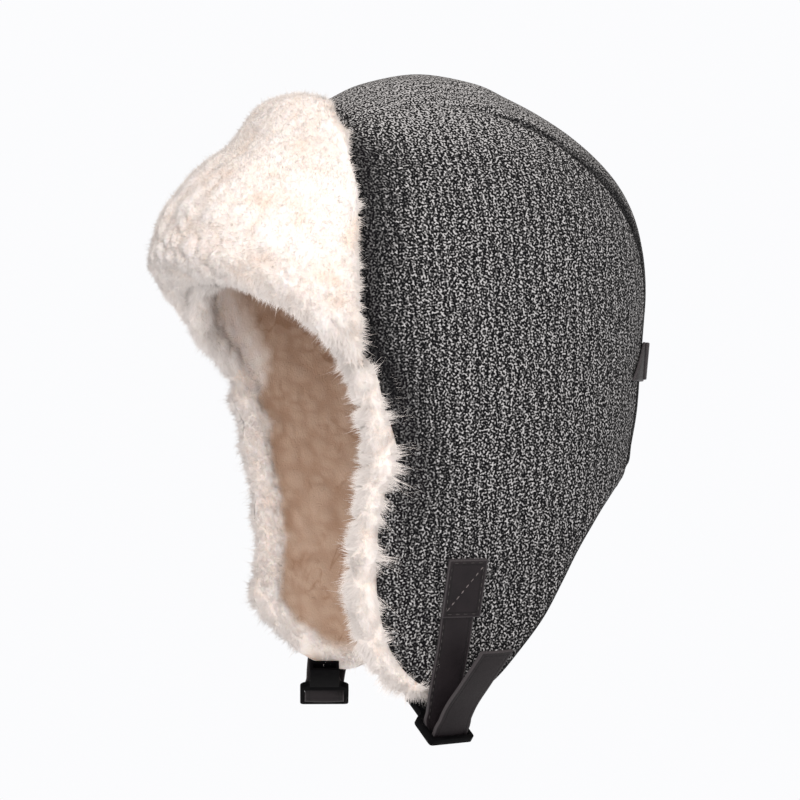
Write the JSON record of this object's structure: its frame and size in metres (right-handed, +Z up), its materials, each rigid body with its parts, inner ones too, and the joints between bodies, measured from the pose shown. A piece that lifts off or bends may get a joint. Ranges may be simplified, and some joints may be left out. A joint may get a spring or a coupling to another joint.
{
  "type": "earflap trapper hat",
  "caption": "Trapper hat of tweed knit with a deep pile lining, turned-up pile brim, long earflaps and a leather strap with side-release buckle halves.",
  "frame": {"origin": "inside top of the pile lining, where the hat sits on the crown of the head", "axes": "+Z up, the wearer faces -Y, the wearer's left is +X"},
  "size_m": [0.2114, 0.237, 0.3105],
  "materials": {
    "knit": "black and grey tweed knit, matte",
    "pile": "cream curly pile, matte",
    "leather": "smooth dark brown, satin",
    "plastic": "black, satin"
  },
  "bodies": {
    "root": {"crown_strip": "knit", "side_panel_left": "knit", "side_panel_right": "knit", "pile_lining": "pile", "brim_pile": "pile", "brim_backing": "knit", "strap_left": "leather", "strap_right": "leather", "buckle_socket": "plastic", "buckle_plug": "plastic", "back_tab": "leather"}
  },
  "joints": []
}
